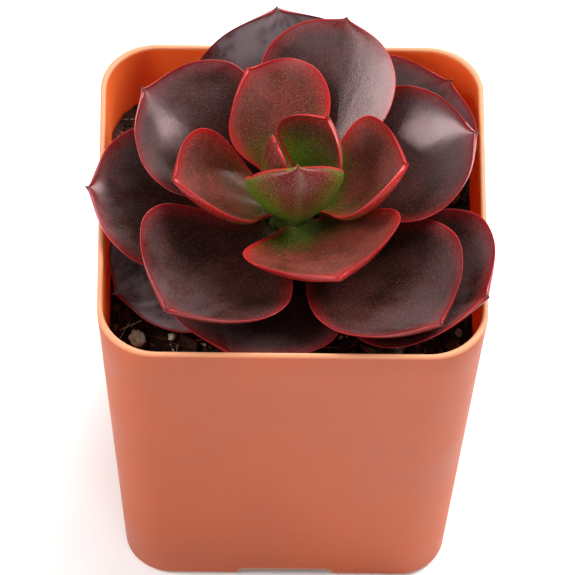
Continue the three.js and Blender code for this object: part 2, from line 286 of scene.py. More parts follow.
# %% [markdown]
# ## Leaves
# A leaf of this plant is a thick spoon: fleshy in the middle, thin at a crisp margin, and drawn out
# into a tiny hard point. The measured model has each leaf as a coarse cage of rings around a
# midrib. The cage is copied, its triangles are joined back into four-sided faces, the two edge
# lines along the margin are creased, and a Subdivision Surface rounds the rest.

# %% Turn a coarse leaf back into rings and columns
def rings_from_base(bm):
    """Each vertex's ring number, counted from the end nearest the stem to the point."""
    point = max((v for v in bm.verts if len(v.link_edges) == 12), key=lambda v: v.co.z)
    steps = {point: 0}
    front = [point]
    while front:
        reached = []
        for v in front:
            for e in v.link_edges:
                o = e.other_vert(v)
                if o not in steps:
                    steps[o] = steps[v] + 1
                    reached.append(o)
        front = reached
    last = max(steps.values())
    return {v: last - n for v, n in steps.items()}


def open_quads(bm, ring):
    """Dissolves the slanting edge of each four-sided patch and returns the edges that run along."""
    last = max(ring.values())
    left, right = [], []
    for v in bm.verts:
        if not 0 < ring[v] < last - 1:
            continue
        ahead = [e for e in v.link_edges if ring[e.other_vert(v)] == ring[v] + 1]
        a, b = (e.other_vert(v).co - v.co for e in ahead)
        if a.cross(b).dot(v.normal) < 0:
            ahead.reverse()
        left.append(ahead[0])
        right.append(ahead[1])
    keep, slant = sorted((left, right), key=lambda es: sum(e.calc_length() for e in es))
    bmesh.ops.dissolve_edges(bm, edges=slant, use_verts=False, use_face_split=False)
    return keep


def columns_of(bm, ring, along):
    """Chains of vertices that run from the first ring to the last."""
    ahead = {}
    for e in along:
        a, b = sorted(e.verts, key=lambda v: ring[v])
        ahead[a] = (b, e)
    chains = []
    for start in [v for v in bm.verts if ring[v] == 1]:
        chain, edges, v = [start], [], start
        while v in ahead:
            v, e = ahead[v]
            chain.append(v)
            edges.append(e)
        chains.append((chain, edges))
    return chains


MARKS = ("rim", "reach", "under", "side")


def leaf_cage(name):
    bm = bmesh.new()
    bm.from_mesh(nodes[name].data)
    bmesh.ops.remove_doubles(bm, verts=bm.verts, dist=0.002 * MM)
    bm.edges.layers.float.new("crease_edge")
    for mark in MARKS:
        bm.verts.layers.float.new(mark)
    bm.normal_update()
    ring = rings_from_base(bm)
    along = open_quads(bm, ring)
    bm.normal_update()
    return bm, ring, columns_of(bm, ring, along)


bm, ring, columns = leaf_cage(leaf_names[0])
print(leaf_names[0], "has", len(bm.verts), "vertices,", len(bm.faces), "faces and",
      len(columns), "columns of", {len(c[0]) for c in columns})
bm.free()

# %% [markdown]
# ## Where on a leaf
# The red line follows a leaf's margin, the green shows near the stem, and the underside is redder,
# so the finish needs to know where on the leaf each point is. Four numbers are stored on the cage:
# reach runs from the stem to the point, under from the upper face to the underside, side from one
# margin to the other, and rim becomes the distance to the margin. The subdivision carries them over.

# %% Mark the cage and crease its margin
CREASE = 0.62  # of the margin: 0 would round it away, 1 would keep it knife sharp
GROOVE = 0.22 * MM  # how deep the midrib lies


def mark_leaf(bm, ring, columns):
    """Creases the two sharpest columns, marks where each point is and presses the midrib in."""
    def sharpness(column):
        return sum(e.calc_face_angle(0) for e in column[1][1:-1])

    margin = sorted(columns, key=sharpness)[-2:]
    crease = bm.edges.layers.float["crease_edge"]
    rim, reach, under, side = (bm.verts.layers.float[mark] for mark in MARKS)
    last = max(ring.values())
    for v in bm.verts:
        v[reach] = ring[v] / last
        v[under] = 0.5
    for chain, edges in margin:
        for v in chain:
            v[rim] = 1
        for e in edges:
            e[crease] = CREASE
    left, right = margin[0][0], margin[1][0]
    faces = [chain for chain, edges in columns if chain is not left and chain is not right]
    for chain in faces:
        for v, a, b in zip(chain, left, right):
            chord = b.co - a.co
            v[side] = 2 * (v.co - a.co).dot(chord) / max(chord.length_squared, 1e-12) - 1
    for v, s in [(v, -1) for v in left] + [(v, 1) for v in right]:
        v[side] = s

    def height(chain):
        """How far a column stands inwards and upwards of the two margins at its middle."""
        middle = len(chain) // 2
        return chain[middle].normal.z - chain[middle].normal.xy.dot(chain[middle].co.xy.normalized())

    central = sorted(faces, key=lambda chain: abs(chain[len(chain) // 2][side]))[:2]
    upper, lower = sorted(central, key=height, reverse=True)
    toward_upper = {}
    for v, w in zip(upper, lower):
        toward_upper[ring[v]] = (v.co - w.co).normalized()
    for chain in faces:
        for v, a, b in zip(chain, left, right):
            from_chord = v.co - a.co.lerp(b.co, (v[side] + 1) / 2)
            bowl = (upper[ring[v] - 1].co + lower[ring[v] - 1].co) / 2
            bowl = bowl - a.co.lerp(b.co, 0.5)
            middle = bowl * (1 - v[side] ** 2)
            above = (from_chord - middle).dot(toward_upper[ring[v]])
            v[under] = 0 if above > 0 else 1
    for v in upper:
        tip = max(0, v[reach] - 0.6) / 0.4
        v.co -= toward_upper[ring[v]] * GROOVE * (0.5 + tip * (1.4 - tip))
    return margin


bm, ring, columns = leaf_cage("leaf_front_left")
margin = mark_leaf(bm, ring, columns)
under = bm.verts.layers.float["under"]
print("upper", sum(v[under] < 0.4 for v in bm.verts), "under", sum(v[under] > 0.6 for v in bm.verts),
      "margin length in mm", [round(sum(e.calc_length() for e in edges) / MM, 1) for _, edges in margin])
bm.free()

# %% [markdown]
# ## Rounding without shrinking
# A Subdivision Surface pulls a coarse cage inwards, and a leaf would lose half a millimetre all
# round. So each leaf is rounded twice: the first time shows how far every cage vertex is pulled,
# and the cage is pushed out by that much before the second. A slow wander then takes away the
# machine-made look, less and less towards the point so that the leaf keeps its reach, and nothing
# may pass the measured box. Blender starts this noise from the clock, so it is given a seed, and
# every run makes the same leaves.

# %% Build the finished leaves
LEVELS = 3
WANDER_SIZE, WANDER_DEPTH = 8 * MM, 0.16 * MM
WANDER_SEED = 5


def finished_mesh(obj):
    """Replaces an object's mesh by what its modifiers make of it."""
    graph = bpy.context.evaluated_depsgraph_get()
    mesh = bpy.data.meshes.new_from_object(obj.evaluated_get(graph), depsgraph=graph)
    obj.modifiers.clear()
    obj.data = mesh
    return mesh


def push_out(obj):
    """Moves each cage vertex out by as much as the rounding pulls it in."""
    graph = bpy.context.evaluated_depsgraph_get()
    smooth = obj.evaluated_get(graph).to_mesh()
    pulled = [smooth.vertices[i].co - v.co for i, v in enumerate(obj.data.vertices)]
    obj.evaluated_get(graph).to_mesh_clear()
    for v, pull in zip(obj.data.vertices, pulled):
        v.co -= pull
    obj.data.update()
    return max(pull.length for pull in pulled)


def wander(mesh, size, depth):
    """Moves vertices by a slow noise that fades towards the point."""
    reach = np.zeros(len(mesh.vertices))
    mesh.attributes["reach"].data.foreach_get("value", reach)
    for v, r in zip(mesh.vertices, reach):
        v.co += noise.noise_vector(v.co / size) * depth * (1 - r ** 4) * min(1, 4 * r)
        v.co = [min(max(c, low), high) for c, low, high in zip(v.co, *cad_box)]


def margin_distance(mesh):
    """Stores, for each vertex, its distance in millimetres from the leaf's margin."""
    on_rim = np.zeros(len(mesh.vertices))
    mesh.attributes["rim"].data.foreach_get("value", on_rim)
    points = []
    for e in mesh.edges:
        a, b = e.vertices
        if on_rim[a] > 0.999 and on_rim[b] > 0.999:
            pa, pb = mesh.vertices[a].co, mesh.vertices[b].co
            points += [pa.lerp(pb, t / 4) for t in range(4)]
    tree = kdtree.KDTree(len(points))
    for i, p in enumerate(points):
        tree.insert(p, i)
    tree.balance()
    away = [tree.find(v.co)[2] / MM for v in mesh.vertices]
    mesh.attributes["rim"].data.foreach_set("value", away)
    return min(away), max(away)


def new_piece(name, bm, stands_for=()):
    """Makes a mesh object from a bmesh, on the one body, and hides the measured parts it stands for."""
    mesh = bpy.data.meshes.new(name)
    bm.to_mesh(mesh)
    bm.free()
    piece = bpy.data.objects.new(name, mesh)
    bpy.context.scene.collection.objects.link(piece)
    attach(piece, "root")
    for node in stands_for:
        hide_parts(node)
    return piece


def build_leaf(name):
    bm, ring, columns = leaf_cage(name)
    mark_leaf(bm, ring, columns)
    for face in bm.faces:
        face.smooth = True
    leaf = new_piece(name + "_flesh", bm, [name])
    rounding = leaf.modifiers.new("rounding", "SUBSURF")
    rounding.levels = rounding.render_levels = LEVELS
    pulled = push_out(leaf)
    mesh = finished_mesh(leaf)
    wander(mesh, WANDER_SIZE, WANDER_DEPTH)
    margin_distance(mesh)
    return leaf, pulled


noise.seed_set(WANDER_SEED)
built = {name: build_leaf(name) for name in leaf_names}
leaves = {name: leaf for name, (leaf, pulled) in built.items()}
print(len(leaves), "leaves,", sum(len(o.data.polygons) for o in leaves.values()), "faces, pulled by up to",
      round(max(pulled for _, pulled in built.values()) / MM, 2), "mm")

# %% [markdown]
# ## Leaf skin
# The skin is a dark brown maroon that clouds over into purple, with a fine powder of pale grains
# on it. It warms towards the margin, where it ends in a thin bright line with a painted highlight
# along its very edge, and it stays green near the stem and along the flanks of the underside. A
# pale waxy bloom, partly real and partly a painted sheen, lies on the outer half of the older
# leaves, and faint furrows run from the stem to the point, which break up the gloss. The inner
# leaves have the same skin with other colours, so all of it is one group that each leaf material
# fills in.

# %% The skin group
GRAIN_SCALE, POWDER_SCALE = 6200, 4200  # cells to a metre

skin, given, gives = new_group(
    "succulent_skin",
    [("Place", "vector"), ("Rim", "value"), ("Reach", "value"), ("Under", "value"), ("Side", "value"),
     ("Body", "colour"), ("Flush", "colour"), ("Margin", "colour"), ("Base", "colour"),
     ("Back", "colour"), ("Margin Width", "value"), ("Warm Band", "value"), ("Green Reach", "value"),
     ("Bloom", "value"), ("Speckle", "value")],
    [("Color", "colour"), ("Roughness", "value"), ("Height", "value")])
marks = use_group(skin, clouds_and_grain, Place=given["Place"], Cloud_Scale=190, Grain_Scale=GRAIN_SCALE)
cloud, grain = marks["Cloud"], marks["Grain"]

body = blend(skin, cloud, given["Body"], given["Flush"])
warm = maths(skin, "MULTIPLY", remap(skin, given["Rim"], 2.6, 0.2), given["Warm Band"])
body = blend(skin, warm, body, given["Margin"])

back = remap(skin, given["Under"], 0.45, 0.8)
body = blend(skin, maths(skin, "MULTIPLY", back, 0.85), body, given["Back"])

flank = maths(skin, "MULTIPLY", maths(skin, "MULTIPLY", given["Side"], given["Side"]), back)
flank = maths(skin, "MULTIPLY", maths(skin, "MULTIPLY", flank, given["Green Reach"]), -0.45)
wandering_reach = maths(skin, "ADD", given["Reach"], maths(skin, "MULTIPLY", cloud, 0.08))
wandering_reach = maths(skin, "ADD", wandering_reach, flank)
green_end = maths(skin, "MULTIPLY", given["Green Reach"], 0.25)
green = remap(skin, wandering_reach, given["Green Reach"], green_end, 0.0, 0.92)
body = blend(skin, green, body, given["Base"])
dark_specks = maths(skin, "MULTIPLY", remap(skin, grain, 0.45, 0.0, 0.0, 0.6), given["Speckle"])
body = blend(skin, dark_specks, body, srgb(26, 14, 10))
pale_specks = maths(skin, "MULTIPLY", remap(skin, grain, 0.55, 1.0, 0.0, 0.42), given["Speckle"])
body = blend(skin, pale_specks, body, srgb(160, 92, 72))
keel = remap(skin, maths(skin, "ABSOLUTE", given["Side"]), 0.13, 0.0, 0.0, 0.16)
keel = maths(skin, "MULTIPLY", keel, back)
body = blend(skin, keel, body, srgb(120, 124, 58))
print("the skin group's body has", len(skin.nodes), "nodes")

# %% Bloom and painted sheen, powder, margin with a painted edge highlight, and point
upper_face = maths(skin, "SUBTRACT", 1.0, back)
across = skin.nodes.new("ShaderNodeCombineXYZ")
feed(skin, maths(skin, "MULTIPLY", given["Side"], 2.4), across.inputs[0])
feed(skin, given["Reach"], across.inputs[1])
streaked = skin.nodes.new("ShaderNodeVectorMath")
streaked.operation = "MULTIPLY_ADD"
feed(skin, given["Place"], streaked.inputs[0])
streaked.inputs[1].default_value = (70, 70, 70)
feed(skin, across.outputs[0], streaked.inputs[2])
streaks = speckle_noise(skin, streaked.outputs[0], 2.2, detail=2.0)
# Bloom and painted sheen: pale lavender-grey patches on the outer upper face, partly real waxy bloom and
# partly a painted sheen for the leaves' broad grey highlights.
patches = maths(skin, "ADD", maths(skin, "MULTIPLY", streaks, 0.4),
                speckle_noise(skin, given["Place"], 130, detail=4.0, rough=0.6))
patches = remap(skin, patches, 0.48, 0.82)
bloom_and_sheen = maths(skin, "MULTIPLY", remap(skin, given["Reach"], 0.3, 0.8), patches)
bloom_and_sheen = maths(skin, "MULTIPLY", maths(skin, "MULTIPLY", bloom_and_sheen, upper_face), given["Bloom"])
body = blend(skin, bloom_and_sheen, body, srgb(138, 122, 126))

dots = skin.nodes.new("ShaderNodeTexVoronoi")
feed(skin, given["Place"], dots.inputs["Vector"])
dots.inputs["Scale"].default_value = POWDER_SCALE
few = skin.nodes.new("ShaderNodeSeparateColor")
feed(skin, dots.outputs["Color"], few.inputs[0])
powder = maths(skin, "MULTIPLY", remap(skin, dots.outputs["Distance"], 0.42, 0.12),
               remap(skin, few.outputs[0], 0.4, 1.0, 0.0, 0.6))
powder = maths(skin, "MULTIPLY", powder, given["Speckle"])
body = blend(skin, powder, body, srgb(176, 134, 118))

wave = maths(skin, "MULTIPLY", maths(skin, "SUBTRACT", cloud, 0.5), 0.14)
wavy_rim = maths(skin, "ADD", given["Rim"], wave)
line = remap(skin, wavy_rim, maths(skin, "MULTIPLY", given["Margin Width"], 1.9),
             maths(skin, "MULTIPLY", given["Margin Width"], 0.5))
body = blend(skin, line, body, given["Margin"])
# Painted highlight: a pale pink line along the very edge of the margin, where the rounded edge catches
# light.
edge_highlight_width = maths(skin, "MULTIPLY", given["Margin Width"], 0.7)
edge_highlight = remap(skin, given["Rim"], edge_highlight_width, 0.03, 0.0, 0.2)
body = blend(skin, edge_highlight, body, srgb(214, 104, 96))
body = blend(skin, remap(skin, given["Reach"], 0.975, 1.0), body, srgb(112, 36, 32))
feed(skin, body, gives["Color"])

rough = maths(skin, "ADD", 0.17, maths(skin, "MULTIPLY", cloud, 0.08))
rough = maths(skin, "ADD", rough, maths(skin, "MULTIPLY", bloom_and_sheen, 0.25))
feed(skin, maths(skin, "ADD", rough, maths(skin, "MULTIPLY", powder, 0.3)), gives["Roughness"])
height = maths(skin, "ADD", marks["Height"], maths(skin, "MULTIPLY", powder, 0.5))
furrows = maths(skin, "MULTIPLY", streaks, remap(skin, given["Reach"], 1.0, 0.7, 0.0, 0.8))
feed(skin, maths(skin, "ADD", height, furrows), gives["Height"])
print("the whole skin group has", len(skin.nodes), "nodes")

# %% [markdown]
# ## Three ages of leaf
# The oldest leaves are nearly black with a thin margin and some bloom, partly a painted sheen. The
# ring inside them is warmer, redder at the margin and green at its base. The bud's leaves are
# green with red edges.
# Each material fills in the same group with its own colours and sizes.

# %% Make and give out the leaf materials
def leaf_material(name, body, flush, margin, base, back, margin_width, warm_band, green_reach, bloom_and_sheen,
                  speckle, dullness):
    material, tree, shader = new_material(name, body, 0.35, IOR=1.45, Specular_Tint=(1.0, 0.74, 0.74, 1.0))
    out = use_group(tree, skin, Place=object_place(tree), Rim=attribute(tree, "rim"),
                    Reach=attribute(tree, "reach"), Under=attribute(tree, "under"),
                    Side=attribute(tree, "side"), Body=body, Flush=flush, Margin=margin, Base=base,
                    Back=back, Margin_Width=margin_width, Warm_Band=warm_band, Green_Reach=green_reach,
                    Bloom=bloom_and_sheen, Speckle=speckle)
    feed(tree, out["Color"], shader["Base Color"])
    feed(tree, maths(tree, "ADD", out["Roughness"], dullness), shader["Roughness"])
    bump(tree, out["Height"], 0.03 * MM, shader)
    return material


old_skin = leaf_material("old_leaf_skin", body=srgb(37, 20, 16), flush=srgb(55, 26, 24),
                         margin=srgb(130, 20, 25), base=srgb(38, 44, 15), back=srgb(88, 24, 24),
                         margin_width=0.32, warm_band=0.5, green_reach=0.22, bloom_and_sheen=0.16, speckle=0.3,
                         dullness=0.0)
bloomed_sheen_skin = leaf_material("bloomed_sheen_leaf_skin", body=srgb(44, 27, 25), flush=srgb(66, 38, 37),
                             margin=srgb(124, 28, 32), base=srgb(44, 46, 20), back=srgb(82, 30, 30),
                             margin_width=0.3, warm_band=0.35, green_reach=0.18, bloom_and_sheen=0.95, speckle=0.25,
                             dullness=0.0)
young_skin = leaf_material("young_leaf_skin", body=srgb(80, 35, 25), flush=srgb(106, 42, 33),
                           margin=srgb(166, 22, 25), base=srgb(40, 82, 9), back=srgb(144, 22, 20),
                           margin_width=0.36, warm_band=0.6, green_reach=0.46, bloom_and_sheen=0.08, speckle=0.62,
                           dullness=0.06)
bud_skin = leaf_material("bud_leaf_skin", body=srgb(74, 24, 20), flush=srgb(58, 34, 18),
                         margin=srgb(168, 28, 30), base=srgb(54, 118, 12), back=srgb(96, 14, 13),
                         margin_width=0.3, warm_band=0.6, green_reach=0.67, bloom_and_sheen=0.0, speckle=0.8,
                         dullness=0.17)
# These two leaves carry the most bloom, and with it the most painted sheen.
BLOOMED_SHEEN = ("leaf_far_back", "leaf_low_left")
for name, leaf in leaves.items():
    age = bud_skin if "_bud_" in name else young_skin if "_inner_" in name else old_skin
    leaf.data.materials.clear()
    leaf.data.materials.append(bloomed_sheen_skin if name in BLOOMED_SHEEN else age)
skins = (old_skin, bloomed_sheen_skin, young_skin, bud_skin)
print({m.name: sum(o.data.materials[0] is m for o in leaves.values()) for m in skins})

# %% [markdown]
# ## Pot
# The pot is a thin square tub with round corners, moulded in one go: a foot ring, sides that lean
# out, a rounded lip, and a floor with drain holes. One closed ring of edges, a square with its
# corners rounded, is extruded and scaled along that section from the foot's inside to the floor's
# top. The measured model gives the widths and the height.

# %% Measure the pot and its section
pot_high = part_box("pot")[1]
rim_half, pot_top = pot_high.x, pot_high.z
foot_half = max(abs(v.co.x) for v in nodes["pot"].data.vertices if v.co.z < 1.0 * MM)
WALL, FOOT_RISE, FLOOR_TOP, LIP = 0.8 * MM, 1.5 * MM, 2.7 * MM, 0.4 * MM
FOOT_RIM, FOOT_BEND, FLOOR_BEND = 0.25 * MM, 0.7 * MM, 1.3 * MM  # roundings at the pot's lower end
CORNER = 7.8 * MM / rim_half  # a corner's radius as a share of the half width


def half_at(z):
    """Half the pot's outside width at a height."""
    return foot_half + (rim_half - foot_half) * z / pot_top


def arc(half, z, radius, start, end, steps):
    """Points of a section on a circle about (half, z), angles in degrees from outwards to up."""
    turns = [math.radians(start + (end - start) * i / steps) for i in range(steps + 1)]
    return [(half + radius * math.cos(t), z + radius * math.sin(t)) for t in turns]


section = ([(foot_half - 2.2 * MM, FOOT_RISE)]
           + arc(foot_half - 1.7 * MM, FOOT_RIM, FOOT_RIM, 180, 270, 2)
           + arc(half_at(FOOT_BEND) - FOOT_BEND, FOOT_BEND, FOOT_BEND, 270, 360, 4)
           + [(half_at(z * MM), z * MM) for z in (8, 20, 32, 44, 54)]
           + arc(rim_half - LIP, pot_top - LIP, LIP, 0, 180, 8)
           + [(half_at(z * MM) - WALL, z * MM) for z in (54, 44, 32, 20, 8)]
           + arc(half_at(4 * MM) - WALL - FLOOR_BEND, FLOOR_TOP + FLOOR_BEND, FLOOR_BEND, 0, -90, 3))
print("pot rim", round(2 * rim_half / MM, 1), "foot", round(2 * foot_half / MM, 1), "height",
      round(pot_top / MM, 1), "mm,", len(section), "rings")

# %% Extrude the ring along the section
bm = bmesh.new()
first_half, first_z = section[0]
bmesh.ops.create_circle(bm, cap_ends=False, segments=4, radius=first_half * math.sqrt(2))
bmesh.ops.rotate(bm, verts=bm.verts, cent=(0, 0, 0), matrix=Matrix.Rotation(math.radians(45), 3, "Z"))
bmesh.ops.bevel(bm, geom=bm.verts[:], offset=CORNER * first_half, affect="VERTICES", segments=14,
                profile=0.5, material=-1)
bmesh.ops.translate(bm, verts=bm.verts, vec=(0, 0, first_z))
loop = bm.edges[:]
bmesh.ops.contextual_create(bm, geom=loop)
for (half, z), (next_half, next_z) in zip(section, section[1:]):
    made = bmesh.ops.extrude_edge_only(bm, edges=loop)["geom"]
    ring = [v for v in made if isinstance(v, bmesh.types.BMVert)]
    loop = [e for e in made if isinstance(e, bmesh.types.BMEdge)]
    bmesh.ops.scale(bm, verts=ring, vec=(next_half / half, next_half / half, 1))
    bmesh.ops.translate(bm, verts=ring, vec=(0, 0, next_z - z))
bmesh.ops.contextual_create(bm, geom=loop)
bmesh.ops.recalc_face_normals(bm, faces=bm.faces)
tub = new_piece("pot_shell", bm, ["pot"])
print("the tub has", len(tub.data.polygons), "faces")

# %% [markdown]
# ## Notches and drain holes
# Water has to leave under the pot, so the foot ring is cut through in the middle of each side and
# the floor has five round holes. Each cut is a simple solid, a long bar with rounded upper edges or
# a short cylinder, and a Boolean modifier takes them all away at once.

# %% Cut the tub
NOTCH_WIDTH, NOTCH_BEND = 13.6 * MM, 0.9 * MM
DRAIN_RADIUS, DRAIN_OFFSET = 2.5 * MM, 12 * MM

bm = bmesh.new()
for along in (0, 90):
    bar = bmesh.ops.create_cube(bm, size=1, matrix=Matrix.Rotation(math.radians(along), 4, "Z")
                                @ Matrix.Diagonal((NOTCH_WIDTH, 60 * MM, 2 * FOOT_RISE, 1)))["verts"]
    top = [v for v in bar if v.co.z > 0]
    long_edges = [e for e in bm.edges
                  if all(o in top for o in e.verts) and e.calc_length() > 50 * MM]
    bmesh.ops.bevel(bm, geom=long_edges, offset=NOTCH_BEND, affect="EDGES", segments=4,
                    profile=0.5, material=-1)
outer_drains = [(x, y) for x in (-DRAIN_OFFSET, DRAIN_OFFSET) for y in (-DRAIN_OFFSET, DRAIN_OFFSET)]
for x, y in [(0, 0)] + outer_drains:
    bmesh.ops.create_cone(bm, cap_ends=True, segments=32, radius1=DRAIN_RADIUS, radius2=DRAIN_RADIUS,
                          depth=6 * MM, matrix=Matrix.Translation((x, y, 2 * MM)))
cutter_mesh = bpy.data.meshes.new("pot_cuts")
bm.to_mesh(cutter_mesh)
bm.free()
cutter = bpy.data.objects.new("pot_cuts", cutter_mesh)
bpy.context.scene.collection.objects.link(cutter)
cut = tub.modifiers.new("cuts", "BOOLEAN")
cut.operation, cut.solver, cut.object, cut.use_self = "DIFFERENCE", "EXACT", cutter, True
mesh = finished_mesh(tub)
bpy.data.objects.remove(cutter)


def shade_by_angle(mesh, degrees):
    """Smooth shading, with a sharp edge wherever two faces meet at more than an angle."""
    bm = bmesh.new()
    bm.from_mesh(mesh)
    for face in bm.faces:
        face.smooth = True
    for edge in bm.edges:
        edge.smooth = edge.calc_face_angle(0) < math.radians(degrees)
    bm.to_mesh(mesh)
    bm.free()


shade_by_angle(mesh, 35)
print("the cut tub has", len(mesh.polygons), "faces")

# %% [markdown]
# ## Terracotta plastic
# Nursery pots are moulded from coloured plastic with a fine eggshell surface. The colour is a
# little uneven and the foot is a little dusty. The lip is painted lighter, a painted highlight, and
# the inside is painted a lighter, deeper orange, a painted glow for the light that comes through
# the walls and bounces inside. Where a face looks towards the pot's middle is found from its
# normal. Scattering under the skin lets light glow through the thin walls.

# %% Make the pot material
pot_material, tree, shader = new_material("terracotta_plastic", srgb(196, 100, 68), 0.5, IOR=1.4,
                                          Subsurface_Weight=0.5, Subsurface_Scale=3 * MM,
                                          Subsurface_Radius=(1.0, 0.8, 0.6))
place = object_place(tree)
marks = use_group(tree, clouds_and_grain, Place=place, Cloud_Scale=60, Grain_Scale=3200)
height = tree.nodes.new("ShaderNodeSeparateXYZ")
feed(tree, place, height.inputs[0])
z = height.outputs["Z"]
colour = blend(tree, marks["Cloud"], srgb(166, 74, 35), srgb(173, 80, 39))
colour = blend(tree, maths(tree, "MULTIPLY", marks["Grain"], 0.2), colour, srgb(160, 72, 42))
facing = tree.nodes.new("ShaderNodeVectorMath")
facing.operation = "DOT_PRODUCT"
feed(tree, place, facing.inputs[0])
tree.links.new(tree.nodes.new("ShaderNodeNewGeometry").outputs["Normal"], facing.inputs[1])
# Painted light: faces that look towards the pot's middle get a lighter, deeper orange, a painted glow for
# the inside.
inside_painted_glow = remap(tree, facing.outputs["Value"], -2 * MM, -12 * MM)
colour = blend(tree, inside_painted_glow, colour, srgb(236, 110, 48))
# Painted highlight: the top 0.6 mm of the lip is lightened.
lip_highlight = remap(tree, z, pot_top - 0.6 * MM, pot_top - 0.05 * MM, 0, 0.6)
colour = blend(tree, lip_highlight, colour, srgb(224, 164, 126))
colour = blend(tree, remap(tree, z, 5 * MM, 0.2 * MM, 0, 0.3), colour, srgb(172, 80, 46))
feed(tree, colour, shader["Base Color"])
feed(tree, maths(tree, "ADD", 0.46, maths(tree, "MULTIPLY", marks["Cloud"], 0.1)), shader["Roughness"])
bump(tree, marks["Height"], 0.05 * MM, shader)
tub.data.materials.clear()
tub.data.materials.append(pot_material)
print(pot_material.name, "is on", tub.name)

# %% [markdown]
# ## Potting mix
# The mix is peat with bits of bark, root and perlite. Its body is a grid pressed into the pot's
# rounded square, laid on the measured surface and roughened, with its border pulled down the
# inside of the pot. Hundreds of loose crumbs on top, each of only twenty faces, give it depth.

# %% Lay the body of the mix
def tree_of(*meshes):
    """A search tree over meshes, for dropping things onto them or keeping clear of them."""
    bm = bmesh.new()
    for mesh in meshes:
        bm.from_mesh(mesh)
    tree = BVHTree.FromBMesh(bm)
    bm.free()
    return tree


mix_tree = tree_of(nodes["potting_mix"].data)
leaf_tree = tree_of(*[leaf.data for leaf in leaves.values()])
mix_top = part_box("potting_mix")[1].z
mix_half = max(abs(v.co.x) for v in nodes["potting_mix"].data.vertices if v.co.z > mix_top - 3 * MM)
mix_corner = mix_half - (rim_half - WALL) * CORNER


def ground(x, y):
    """The height of the measured mix below a point."""
    hit = mix_tree.ray_cast(Vector((x, y, 0.1)), Vector((0, 0, -1)))[0]
    return hit.z if hit else mix_top - 3 * MM


def into_corner(x, y, half=None):
    """Pulls a point of the full square inside its rounded corner."""
    half = half or mix_half
    centre = half * mix_corner / mix_half
    radius = half - centre
    dx, dy = max(0, abs(x) - centre), max(0, abs(y) - centre)
    far = math.hypot(dx, dy)
    if far > radius:
        x = math.copysign(centre + dx * radius / far, x) if dx else x
        y = math.copysign(centre + dy * radius / far, y) if dy else y
    return x, y


def rounded_square(x, y):
    """Draws a point of the full square in along its ray, so that the square's corners are rounded."""
    share = mix_half / max(abs(x), abs(y), 1e-9)
    a, b = abs(x) * share, abs(y) * share
    if min(a, b) <= mix_corner:
        return x, y
    both, squares = mix_corner * (a + b), a * a + b * b
    inside = both * both - squares * (2 * mix_corner ** 2 - (mix_half - mix_corner) ** 2)
    draw = (both + math.sqrt(max(0, inside))) / squares
    return x * draw, y * draw


bm = bmesh.new()
bmesh.ops.create_grid(bm, x_segments=110, y_segments=110, size=mix_half)
for v in bm.verts:
    v.co.x, v.co.y = rounded_square(v.co.x, v.co.y)
    p = Vector((v.co.x, v.co.y, 0))
    relief = noise.fractal(p / (2.2 * MM), 1.0, 2.0, 4) * 0.55 + noise.noise(p / (5 * MM)) * 0.5
    v.co.z = ground(v.co.x * 0.99, v.co.y * 0.99) + min(relief, 0.7) * MM - 0.4 * MM
border = [e for e in bm.edges if e.is_boundary]
made = bmesh.ops.extrude_edge_only(bm, edges=border)["geom"]
skirt = [v for v in made if isinstance(v, bmesh.types.BMVert)]
foot_share = (half_at(4.2 * MM) - WALL - 0.4 * MM) / mix_half
bmesh.ops.scale(bm, verts=skirt, vec=(foot_share, foot_share, 1))
for v in skirt:
    v.co.z = 4.2 * MM
bmesh.ops.contextual_create(bm, geom=[e for e in made if isinstance(e, bmesh.types.BMEdge)])
bmesh.ops.recalc_face_normals(bm, faces=bm.faces)
shade = bm.verts.layers.float.new("shade")
for v in bm.verts:
    v[shade] = 0.25
soil = new_piece("mix_body", bm, ["potting_mix"])
shade_by_angle(soil.data, 60)
print("the mix has", len(soil.data.polygons), "faces, half width", round(mix_half / MM, 2), "mm")

# %% Scatter the crumbs
def loose_spot(dice, size):
    """A place on the mix for a crumb of a size, clear of the leaves and the wall, or None."""
    x, y = (dice.uniform(-1, 1) * (mix_half - size) for _ in range(2))
    if max(abs(x), abs(y)) < 13 * MM or (x, y) != into_corner(x, y, mix_half - size):
        return None
    spot = Vector((x, y, ground(x, y) - 0.25 * MM + dice.uniform(0, 0.35) * size))
    near = leaf_tree.find_nearest(spot)
    return None if near[3] < size * 1.2 + 0.15 * MM else spot


def scatter_crumbs(count, seed):
    dice = random.Random(seed)
    bm = bmesh.new()
    shade = bm.verts.layers.float.new("shade")
    placed = 0
    while placed < count:
        kind = dice.random()
        size = (dice.uniform(0.25, 0.6) if kind < 0.8 else dice.uniform(0.6, 1.05)) * MM
        spot = loose_spot(dice, size)
        if spot is None:
            continue
        turn = Matrix.Rotation(dice.uniform(0, 6.3), 4, Vector((dice.gauss(0, 1), dice.gauss(0, 1), 1)))
        stretch = Matrix.Diagonal((dice.uniform(0.8, 1.6), dice.uniform(0.6, 1.0),
                                   dice.uniform(0.45, 0.9), 1))
        made = bmesh.ops.create_icosphere(bm, subdivisions=1, radius=size,
                                          matrix=Matrix.Translation(spot) @ turn @ stretch)["verts"]
        tone = 0.97 if dice.random() < 0.035 else dice.random() ** 1.5 * 0.8
        for v in made:
            v.co += Vector((dice.gauss(0, 1), dice.gauss(0, 1), dice.gauss(0, 1))) * size * 0.12
            v[shade] = tone
        placed += 1
    return bm


crumbs = new_piece("mix_crumbs", scatter_crumbs(1500, 7))
print("crumbs:", len(crumbs.data.polygons), "faces")

# %% [markdown]
# Peat also holds fine root fibres and slivers of bark. Each one is a thin four-sided cone that is
# laid almost flat on the mix, and a few are pale.

